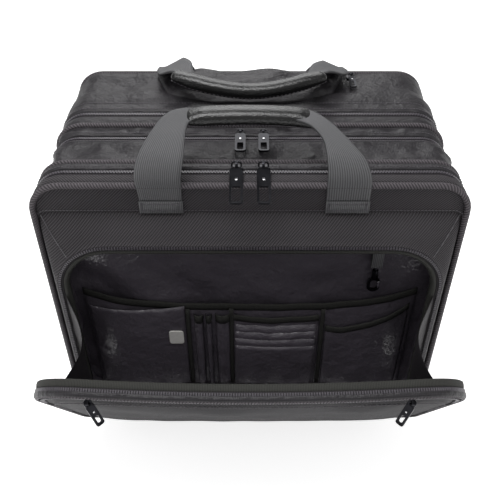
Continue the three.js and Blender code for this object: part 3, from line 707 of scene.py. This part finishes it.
clothPanel("organiserLining", -201, 201, lambda x: -72, -318, liningDepth, satinLining, "front_section",
           ["organiser_panel"], columns=110, rows=70)


def slipTop(x):
    return -146 - 21 * (1 - min(1, abs(x / 184)) ** 3.2) + 1.2 * ripple(x / 30, 0.3)


def slipDepth(x, z):
    edge = min(1, (184 - abs(x)) / 30)
    belly = math.sin(math.pi * min(1, max(0, (z + 305) / 150)))
    return 11 - 5.5 * max(0, edge) * (0.55 + 0.45 * belly) + 1.3 * ripple(x / 32, z / 50, 8.0)


clothPanel("slipPocket", -184, 184, slipTop, -306, slipDepth, satinLining, "front_section",
           ["organiser_slip_pocket"], columns=90)
boundEdge("slipBinding", -184, 184, slipTop, slipDepth, 9, "front_section", columns=80)


def bulge(left, right, swell, base=0.0):
    def depthAt(x, z):
        share = min(1, max(0, (x - left) / (right - left)))
        swelling = swell * math.sin(math.pi * share) ** 0.6
        return slipDepth(x, z) - 1.6 - base - swelling + 0.8 * ripple(x / 18, z / 26, 4.0)
    return depthAt


smallPockets = {"mediaPocket": dict(left=-180, right=-73,
                                    top=lambda x: -168 - 4 * math.sin((x + 180) / 107 * math.pi), swell=3.5),
                "sidePocket": dict(left=86, right=178,
                                   top=lambda x: -199 + 32 * max(0, (x - 96) / 82) ** 1.5, swell=4.5),
                "cardPocket": dict(left=-20, right=78,
                                   top=lambda x: -182 - 3 * math.sin((x + 20) / 98 * math.pi), swell=1.2)}
for name, size in smallPockets.items():
    depthAt = bulge(size["left"], size["right"], size["swell"])
    clothPanel(name, size["left"], size["right"], size["top"], -304, depthAt, satinLining, "front_section",
               columns=36, rows=24)
    if name != "mediaPocket":
        boundEdge(name + "Binding", size["left"], size["right"], size["top"], depthAt, 8, "front_section",
                  columns=30)


# Each card slot's edge sits a little lower than the one behind it.
def slotTop(k):
    return lambda x: -195 - 11 * k - 2.2 * math.sin((x + 20) / 98 * math.pi) + 1.6 * ripple(x / 16, k * 3.1)


for k in range(4):
    depthAt = bulge(-17, 75, 1.0, 0.9 + 0.7 * k)
    clothPanel("cardSlot%d" % (k + 1), -17, 75, slotTop(k), -304, depthAt, satinLining, "front_section",
               columns=30, rows=10)
penLoops = [(-63, -53), (-50, -43.5), (-39, -23)]
for k, (left, right) in enumerate(penLoops):
    depthAt = bulge(left, right, 4.5)
    clothPanel("penLoop%d" % (k + 1), left, right, lambda x: -180, -300, depthAt, satinLining,
               "front_section", columns=10, rows=20)
    boundEdge("penLoopBinding%d" % (k + 1), left, right, lambda x: -180, depthAt, 11, "front_section",
              columns=10)
tapeAcross = [(-2.4, 0), (-1.5, 0.5), (1.5, 0.5), (2.4, 0)]
for name, x in {"left": -70, "middle": -21, "right": 82}.items():
    upright = []
    for z in range(-300, -171, 8):
        upright.append([at(x + dx, slipDepth(x, z) - 2.2 - lift, z) for dx, lift in tapeAcross])
    finishPiece(layCloth(upright), "uprightBinding" + name.title(), grosgrain, "front_section", thick=0.6)

tag = bmesh.new()
tagPlace = Matrix.Translation(at(-84.5, 1.2, -214)) @ Matrix.Diagonal((0.0165, 0.0016, 0.0205, 1))
bmesh.ops.create_cube(tag, size=1, matrix=tagPlace)
tagCorners = [e for e in tag.edges if abs(e.verts[0].co.y - e.verts[1].co.y) > 1e-4]
bmesh.ops.bevel(tag, geom=tagCorners, offset=0.003, offset_type="OFFSET", affect="EDGES", segments=5,
                profile=0.5, material=-1)
tagRims = [e for e in tag.edges if e.calc_face_angle(0) > 1]
bmesh.ops.bevel(tag, geom=tagRims, offset=0.0004, offset_type="OFFSET", affect="EDGES", segments=2,
                profile=0.5, material=-1)
finishPiece(tag, "pocketTag", whiteTag, "front_section", flat=True)
tidyCopy("key_tab", webbingNylon, "front_section", 0.5)
tidyCopy("key_clip_hook", platedGunmetal, "key_clip", 0.4)
tidyCopy("key_clip_gate", nickel, "key_clip_gate", 0.3)
print("organiser made")

# the lid
lid = dict(half=200, length=252, upper=58, lower=22, bow=7.5, bowHalf=195)
lidLine = outline(lid["half"], 0, lid["length"], lid["upper"], lid["lower"], counts)
lidCentre = (0, lid["length"] / 2)


def lidBow(x, along):
    return lid["bow"] * max(0, 1 - (x / lid["bowHalf"]) ** 2) * max(0, along / lid["length"]) ** 2


def lidSpot(x, depth, along):
    return onLid(x, depth + lidBow(x, along), along)


def lidPlan(point):
    offset = point - lidHinge
    return (point.x, offset.z * math.cos(lidLean) - offset.y * math.sin(lidLean))


lidRimProfile = [(11.4, -1.6), (10.8, -0.6), (11.6, 0.2), (12.8, 0.3), (14.6, 0.0), (15.6, -1.4),
                 (15.8, -3.2)]
wrap("lidRim", lidLine, lidRimProfile, plainNylon, "organiser_lid", place=lidSpot, thick=1.0,
     replaced=["lid_shell"])
lidTapeProfile = [(7.2, -0.9), (9.4, -0.8), (11.8, -1.2)]
wrap("lidTape", lidLine, lidTapeProfile, zipTape, "organiser_lid", place=lidSpot, thick=0.5)
lidTeethSteps = stepsAlong(lidLine, 9.6, -0.1, 2.3, lidSpot, keep=overHinge)
blocksAlong("lidTeeth", lidTeethSteps, (1.3, 3.0, 1.5), coilNylon, "organiser_lid")
lidBindingProfile = [(8.0, -1.2), (6.4, -0.3), (3.4, 0.0), (1.0, -0.5), (0.1, -2.0), (0.3, -6.0),
                     (1.4, -9.2), (3.0, -9.4)]
wrap("lidBinding", lidLine, lidBindingProfile, grosgrain, "organiser_lid", place=lidSpot, thick=0.8)
welt("lidWelt", lidLine, 15.8, -1.5, 1.3, "organiser_lid", place=lidSpot)
liningShares = [0.975, 0.96, 0.9, 0.8, 0.68, 0.55, 0.4, 0.25, 0.1, 0.02]


def liningSwell(x, z, share):
    return 2.0 + 9.5 * (1 - share ** 9) + 1.8 * ripple(x / 40, z / 30, 6.0) * (1 - share)


liningRows = panelRings(lidLine, liningShares, liningSwell, lidSpot, lidCentre)
lidLining = closeMiddle(layCloth(liningRows, closed=True, plan=lidPlan, flip=True))
finishPiece(lidLining, "lidLining", satinLining, "organiser_lid")
faceShares = [0.995, 0.985, 0.965, 0.955, 0.95]
lidFace = panelRings(lidLine, faceShares, lambda x, z, s: 15.4, lidSpot, lidCentre)
finishPiece(layCloth(lidFace, closed=True, plan=lidPlan), "lidBorder", zipTape, "organiser_lid", thick=0.6)


def pocketSwell(x, z, share):
    swell = 9.5 * (1 - share ** 5)
    sag = 2.2 * ripple(x / 46, z / 38, 5.0) + 1.2 * math.sin(x / 30 + z / 70) * (z / 252)
    return 15.6 + swell + sag * (1 - share ** 6)


pocketLine = outline(191, 10, 238, 50, 18, counts)
pocketShares = [1, 0.99, 0.97, 0.94, 0.9, 0.84, 0.76, 0.66, 0.54, 0.42, 0.3, 0.18, 0.08, 0.02]
lidPocketRows = panelRings(pocketLine, pocketShares, pocketSwell, lidSpot, lidCentre)
lidPocket = closeMiddle(layCloth(lidPocketRows, closed=True, plan=lidPlan))
# the lid pocket's twill is a darker copy with painted shade
finishPiece(lidPocket, "lidPocketCloth", lidTwill, "organiser_lid", ["lid_outer_pocket"], thick=1.0)
pocketZipLine = outline(194, 5, 243, 52, 20, counts)
zipSteps = stepsAlong(pocketZipLine, 16.4, 0, 2.5, lidSpot, keep=lambda spot: spot.z > lidHinge.z + 0.15)
facingOut = (onLid(0, 1, 0) - onLid(0, 0, 0)).normalized()
blocksAlong("lidPocketTeeth", [(s, w, facingOut) for s, w, o in zipSteps], (1.4, 3.4, 1.1), coilNylon,
            "organiser_lid")
hemLine = outline(184, 17, 230, 45, 16, counts)
hemSteps = stepsAlong(hemLine, 19.6, 0, 4.4, lidSpot, keep=lambda spot: spot.z > lidHinge.z + 0.1)
blocksAlong("lidPocketStitches", [(s, w, facingOut) for s, w, o in hemSteps], (2.9, 0.7, 0.7), sewingThread,
            "organiser_lid")

# Folded webs join the lid to the pocket's sides.
web = dict(low=62, high=186, half=195, fold=20, droop=26)
for side in (-1, 1):
    rows = []
    for j in range(19):
        along = web["low"] + (web["high"] - web["low"]) * j / 18
        row = []
        for i in range(17):
            share = i / 16
            angle = lidLean * share
            drawnIn = web["fold"] * math.sin(math.pi * share) * (0.5 + 0.5 * j / 18)
            drawnIn += 2 * ripple(share * 3, along / 30, side)
            x = side * (web["half"] - 5 * share - drawnIn)
            reach = along - web["droop"] * math.sin(math.pi * share / 2) * (j / 18)
            row.append(Vector((x / 1000, lidHinge.y - reach / 1000 * math.sin(angle) + 0.002 * (1 - share),
                               lidHinge.z + reach / 1000 * math.cos(angle))))
        rows.append(row)
    name = "Left" if side < 0 else "Right"
    webCloth = finishPiece(layCloth(rows, flip=side > 0), "pocketWeb" + name, zipTape, None,
                           ["pocket_web_" + name.lower()], thick=0.5, smooth=1)
    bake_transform(webCloth)
print("lid made")


# A smooth curve through points: t counts them, so 1.5 is halfway from the second to the third.
def throughPoints(points, t):
    i = min(int(t), len(points) - 2)
    f = t - i
    near = [points[max(i - 1, 0)], points[i], points[i + 1], points[min(i + 2, len(points) - 1)]]
    smoothed = []
    for a, b, c, d in zip(*near):
        bend = (2 * a - 5 * b + 4 * c - d) * f * f
        smoothed.append(0.5 * (2 * b + (c - a) * f + bend + (3 * b - a - 3 * c + d) * f ** 3))
    return tuple(smoothed)


strap = dict(thick=2.2, steps=5, across=8)


# A carry strap is given by its two edges.
def strapCloth(name, edges, body, replaced):
    lefts, rights = [e[0] for e in edges], [e[1] for e in edges]
    rows = []
    for j in range((len(edges) - 1) * strap["steps"] + 1):
        left, right = throughPoints(lefts, j / strap["steps"]), throughPoints(rights, j / strap["steps"])
        shares = [i / strap["across"] for i in range(strap["across"] + 1)]
        rows.append([at(*(a + (b - a) * share for a, b in zip(left, right))) for share in shares])
    return finishPiece(layCloth(rows), name, webbingNylon, body, replaced, thick=strap["thick"])


frontStrapLeft = [((-107, 1, -34), (-65.5, 1, -34)), ((-107, 0.6, -20), (-65.5, 0.6, -20)),
                  ((-107.5, -2.5, -6), (-65, -2.5, -6)), ((-108, -5.4, 6), (-64.5, -5.4, 6)),
                  ((-107, -5, 17), (-63, -5, 17)), ((-104, 0, 27.5), (-61.5, -2, 26)),
                  ((-99, 8, 36), (-60.5, 4, 33)), ((-92, 20, 43), (-60, 13, 39)),
                  ((-85, 35, 47.5), (-59.5, 25, 43)), ((-76, 50, 48.5), (-57, 36, 45)),
                  ((-62, 59, 47.5), (-48, 41, 45)), ((-46, 60, 46), (-38, 42, 45))]
frontStrapRight = [((73.5, 1, -34), (115.5, 1, -34)), ((73.5, 0.6, -20), (115.5, 0.6, -20)),
                   ((73, -2.5, -6), (115, -2.5, -6)), ((72.5, -5.4, 6), (114, -5.4, 6)),
                   ((72, -5, 17), (111, -5, 17)), ((71, -2, 26), (106, 0, 27)),
                   ((70, 4, 33), (98, 7, 34)), ((67, 14, 40), (88, 17, 41)),
                   ((58, 27, 45), (76, 32, 46.5)), ((47, 36, 46), (64, 46, 48.5)),
                   ((38, 41, 45), (52, 57, 47.5)), ((30, 42, 45), (38, 60, 46))]
strapCloth("frontStrapLeft", frontStrapLeft, "front_handle", ["front_strap_left"])
strapCloth("frontStrapRight", frontStrapRight, "front_handle", ["front_strap_right"])

# the folded ends are sewn down with a box of stitches
for side, middle in (("Left", -86.3), ("Right", 94.5)):
    rowsOfThread = []
    for up in (-31, -23.5):
        rowsOfThread += [(at(middle - 17.5 + 2.9 * i, -1.7, up), Vector((1, 0, 0)), Vector((0, -1, 0)))
                         for i in range(13)]
    for x in (middle - 18.5, middle + 18.5):
        rowsOfThread += [(at(x, -1.7, -30 + 2.4 * i), Vector((0, 0, 1)), Vector((0, -1, 0)))
                         for i in range(4)]
    blocksAlong("frontFootStitches" + side, rowsOfThread, (2.0, 0.6, 0.5), coilNylon, "front_handle")
    fold = [[at(middle + x, back, up) for x in (-21.2, -10, 0, 10, 21.2)]
            for back, up in ((-0.6, -35), (-1.4, -34.6), (-1.4, -21.4), (-0.6, -20.8))]
    finishPiece(layCloth(fold), "frontFoot" + side, webbingNylon, "front_handle", thick=1.2)

rearStrapLeft = [((-107, 247.5, -34), (-66, 247.5, -34)), ((-107.5, 248.5, -18), (-66, 248, -20)),
                 ((-108.5, 250, -4), (-66, 249.5, -7)), ((-110, 246, 3), (-69, 248, 2)),
                 ((-111, 234, 6), (-74, 243, 11)), ((-110, 221, 9), (-79.5, 234, 20)),
                 ((-107, 208, 12), (-74, 221, 25)), ((-103, 196, 17), (-67, 206, 27)),
                 ((-98, 186, 23), (-65, 189, 26)), ((-88, 176, 30), (-63, 171, 26)),
                 ((-74, 171, 30), (-60, 153, 26))]
rearStrapRight = [((66, 247.5, -34), (107, 247.5, -34)), ((66, 248, -20), (107.5, 248.5, -18)),
                  ((66.5, 249.5, -8), (109, 250, -4)), ((72, 248, 1), (112, 246, 3)),
                  ((80, 242, 9), (115, 234, 6)), ((87, 232, 17.5), (116, 221, 9)),
                  ((80, 219, 22), (113, 208, 12)), ((72, 205, 25), (107, 196, 17)),
                  ((67, 189, 26), (101, 186, 23)), ((64, 171, 26), (90, 176, 30)),
                  ((61, 153, 25), (75, 171, 30))]
strapCloth("rearStrapLeft", rearStrapLeft, "rear_handle", ["rear_strap_left"])
strapCloth("rearStrapRight", rearStrapRight, "rear_handle", ["rear_strap_right"])


# Each grip follows its path, as (x, back, up).
grips = {"frontGrip": dict(path=[(-62, 49, 42), (-40, 50, 43), (-10, 51, 43.5), (20, 51, 43),
                                 (44, 50, 42), (66, 46, 40)],
                           wide=25, tall=17, body="front_handle", stands="front_grip"),
         "rearGrip": dict(path=[(-86, 168, 32), (-62, 158, 27), (-30, 151, 22.5), (0, 148.5, 20.5),
                                (30, 151, 22.5), (60, 158, 27), (84, 167, 31)],
                          wide=20, tall=16, body="rear_handle", stands="rear_grip")}


# A leather wrap over a soft core: a fat oval along a curve, drawn thin at its ends, with a sewn lip.
def leatherGrip(name, path, wide, tall, body, stands):
    count, sides = 44, 20
    last = len(path) - 1
    rows = []
    seam = []
    for j in range(count + 1):
        t = last * j / count
        spot = Vector(throughPoints(path, t))
        ahead = Vector(throughPoints(path, min(t + 0.05, last)))
        behind = Vector(throughPoints(path, max(t - 0.05, 0)))
        way = (ahead - behind).normalized()
        side = Vector((0, 0, 1)).cross(way).normalized()
        up = way.cross(side)
        end = min(j, count - j) / count
        closing = min(1, (end / 0.035)) ** 0.5 if end < 0.035 else 1
        plump = 0.55 + 0.45 * min(1, end / 0.16)
        ring = []
        for i in range(sides):
            turn = 2 * math.pi * i / sides
            c, s = math.cos(turn), math.sin(turn)
            swell = 1 + 0.02 * ripple(j / 3, i / 4, 1.0)
            across = wide / 2 * math.copysign(abs(c) ** 0.8, c) * closing * swell
            rise = tall / 2 * math.copysign(abs(s) ** 0.9, s) * plump * closing * swell
            ring.append(at(*(spot + side * across + up * rise)))
        rows.append(ring)
        lipSpot = spot - side * (wide / 2 * 0.86) - up * tall * 0.26 * plump
        seam.append((at(*lipSpot), way, (-side - up * 0.35).normalized()))
    bm = layCloth(rows, closed=True, flip=True)
    bmesh.ops.holes_fill(bm, edges=[e for e in bm.edges if e.is_boundary], sides=40)
    piece = finishPiece(bm, name, grainLeather, body, [stands], smooth=1)
    blocksAlong(name + "Stitches", seam[2:count - 1], (2.4, 0.7, 0.7), sewingThread, body)


for name, grip in grips.items():
    leatherGrip(name, **grip)
print("handles made")

# the cover over the trolley handle
coverShape = dict(front=161, back=239, wide=112, narrow=82)


def coverHalf(back):
    share = (back - coverShape["front"]) / (coverShape["back"] - coverShape["front"])
    widening = (coverShape["wide"] - coverShape["narrow"]) * min(1, share * 1.15) ** 0.7
    return coverShape["narrow"] + widening - 40 * max(0, 1 - share / 0.3) ** 2


coverRows = []
for j in range(31):
    back = coverShape["front"] + (coverShape["back"] - coverShape["front"]) * j / 30
    row = []
    for i in range(61):
        share = i / 60 * 2 - 1
        x = share * coverHalf(back)
        edge = min(1, (1 - abs(share)) / 0.14, j / 4)
        folds = 3.5 * ripple(x / 24, back / 17, 3.0)
        folds += 2.4 * math.sin(x / 13 + 3 * ripple(x / 50, back / 30, 8.0)) * min(1, j / 16)
        puff = (3 + 5 * math.sin(math.pi * min(1, j / 30)) + folds) * max(0, edge) ** 0.7
        row.append(at(x, back, 0.8 + max(0, puff)))
    coverRows.append(row)
cover = finishPiece(layCloth(coverRows), "handleCover", plainNylon, "case_back", ["handle_cover"], thick=1.0)
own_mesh(cover)
print("cover made")

# hard parts: material, body and the radius of their edges
hardParts = {"base_plate": (texturedAbs, "case_back", 0.8), "foot_left": (mattRubber, "case_back", 0.6),
             "foot_right": (mattRubber, "case_back", 0.6),
             "wheel_housing_left": (texturedAbs, "case_back", 1.6),
             "wheel_housing_right": (texturedAbs, "case_back", 1.6),
             "wheel_axle_left": (turnedSteel, "case_back", 0.3),
             "wheel_axle_right": (turnedSteel, "case_back", 0.3),
             "wheel_tyre_left": (mattRubber, "wheel_left", 0.8),
             "wheel_tyre_right": (mattRubber, "wheel_right", 0.8),
             "wheel_hub_left": (texturedAbs, "wheel_left", 0.5),
             "wheel_hub_right": (texturedAbs, "wheel_right", 0.5),
             "trolley_guide": (texturedAbs, "case_back", 0.5),
             "trolley_grip": (texturedAbs, "trolley_top_stage", 1.8),
             "trolley_button": (mattRubber, "trolley_button", 0.8)}
for side in ("left", "right"):
    hardParts["trolley_sleeve_" + side] = (anodisedAluminium, "case_back", 0.2)
    hardParts["trolley_middle_tube_" + side] = (anodisedAluminium, "trolley_middle_stage", 0.2)
    hardParts["trolley_inner_tube_" + side] = (anodisedAluminium, "trolley_top_stage", 0.2)
for node, (material, body, bevel) in hardParts.items():
    tidyCopy(node, material, body, bevel)


# A zip's pull: a round bail at its slider, then a flat tab with a slot in its lower half.
pullSizes = {"large": dict(bail=5.0, start=3.2, reach=50, half=6.6, thick=2.0),
             "medium": dict(bail=4.2, start=2.6, reach=37, half=5.6, thick=1.9),
             "small": dict(bail=3.2, start=2.2, reach=26, half=4.0, thick=1.7)}


def zipPull(node, size, droop=0.0, hang=None, roll=0.0):
    size = pullSizes[size]
    pivot = Vector(joints[node + "_swing"]["pos_m"])
    low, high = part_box(node)
    middle = (Vector(low) + Vector(high)) / 2
    way = (middle - pivot).normalized()
    across = Vector(joints[node + "_swing"]["axis"]).normalized()
    way = Matrix.Rotation(math.radians(droop), 3, across) @ way
    if hang:
        # a loose pull hangs off the cloth and twists on its bail
        way = (way + hang).normalized()
        across = Matrix.Rotation(math.radians(roll), 3, way) @ (across - way * across.dot(way)).normalized()
    face = across.cross(way).normalized()
    if face.z < 0:
        face = -face

    def onPull(side, out, along):
        return pivot + (across * side + face * out + way * along) / 1000

    counts = (8, 4, 6, 8)
    start, reach, half, thick = size["start"], size["reach"], size["half"], size["thick"]
    body = outline(half, start, reach, half * 0.5, half * 0.62, counts)
    slotHole = outline(half - 2.4, start + (reach - start) * 0.55, reach - 2.5, 1.8, 1.2, counts)
    rings = []
    for share, out in ((0, -thick + 0.3), (-0.02, -thick), (1, -thick), (1, -0.35), (0.8, -0.35),
                       (0.16, 0.0), (0.05, 0.0), (0, -0.3)):
        rings.append([onPull(p[0] + (q[0] - p[0]) * share, out + thick / 2, p[1] + (q[1] - p[1]) * share)
                      for p, q in zip(body, slotHole)])
    name = pieceName(node)
    tab = finishPiece(layCloth(rings, closed=True, tube=True), name, platedGunmetal, node, [node])
    tab.data.set_sharp_from_angle(angle=math.radians(30))
    bail = outline(size["bail"] - 0.4, -size["bail"] + 0.6, size["bail"] + 0.8, size["bail"] * 0.8,
                   size["bail"] * 0.8, counts)
    rings = []
    for i in range(8):
        turn = 2 * math.pi * i / 8
        rings.append([onPull(x + wayX * 0.95 * math.cos(turn), 0.95 * math.sin(turn),
                             z + wayZ * 0.95 * math.cos(turn))
                      for x, z, wayX, wayZ in bail])
    finishPiece(layCloth(rings, closed=True, tube=True), name + "Bail", platedGunmetal, node)
    rivet = bmesh.new()
    turn = Matrix((across, way, face)).transposed().to_4x4()
    spot = Matrix.Translation(onPull(0, thick / 2 + 0.1, start + (reach - start) * 0.36))
    bmesh.ops.create_cube(rivet, size=1,
                          matrix=spot @ turn @ Matrix.Diagonal((half / 2500, half / 2500, 0.0009, 1)))
    bmesh.ops.bevel(rivet, geom=rivet.edges[:], offset=0.0003, offset_type="OFFSET", affect="EDGES",
                    segments=2, profile=0.5, material=-1)
    finishPiece(rivet, name + "Rivet", nickel, node, flat=True)


zipPull("lid_pocket_left_pull", "small", hang=facingOut * 0.35 + Vector((0.5, 0, 0)), roll=-38)
zipPull("lid_pocket_right_pull", "small", hang=facingOut * 0.35 - Vector((0.5, 0, 0)), roll=38)
for zipName, size, droop in (("front_zip", "large", 3), ("middle_zip", "medium", 0)):
    for side in ("left", "right"):
        zipPull("%s_%s_pull" % (zipName, side), size, droop)
zipPull("rear_zip_pull", "medium")
zipPull("cover_zip_pull", "small")
for node in list(frame["nodes"]):
    if node.endswith("_slider"):
        tidyCopy(node, platedGunmetal, node, 0.6, 3)
tidyCopy("file_divider", plainNylon, "file_section", 1.2)
tidyCopy("laptop_divider", plainNylon, "computer_section", 1.2)
print("hard parts made")
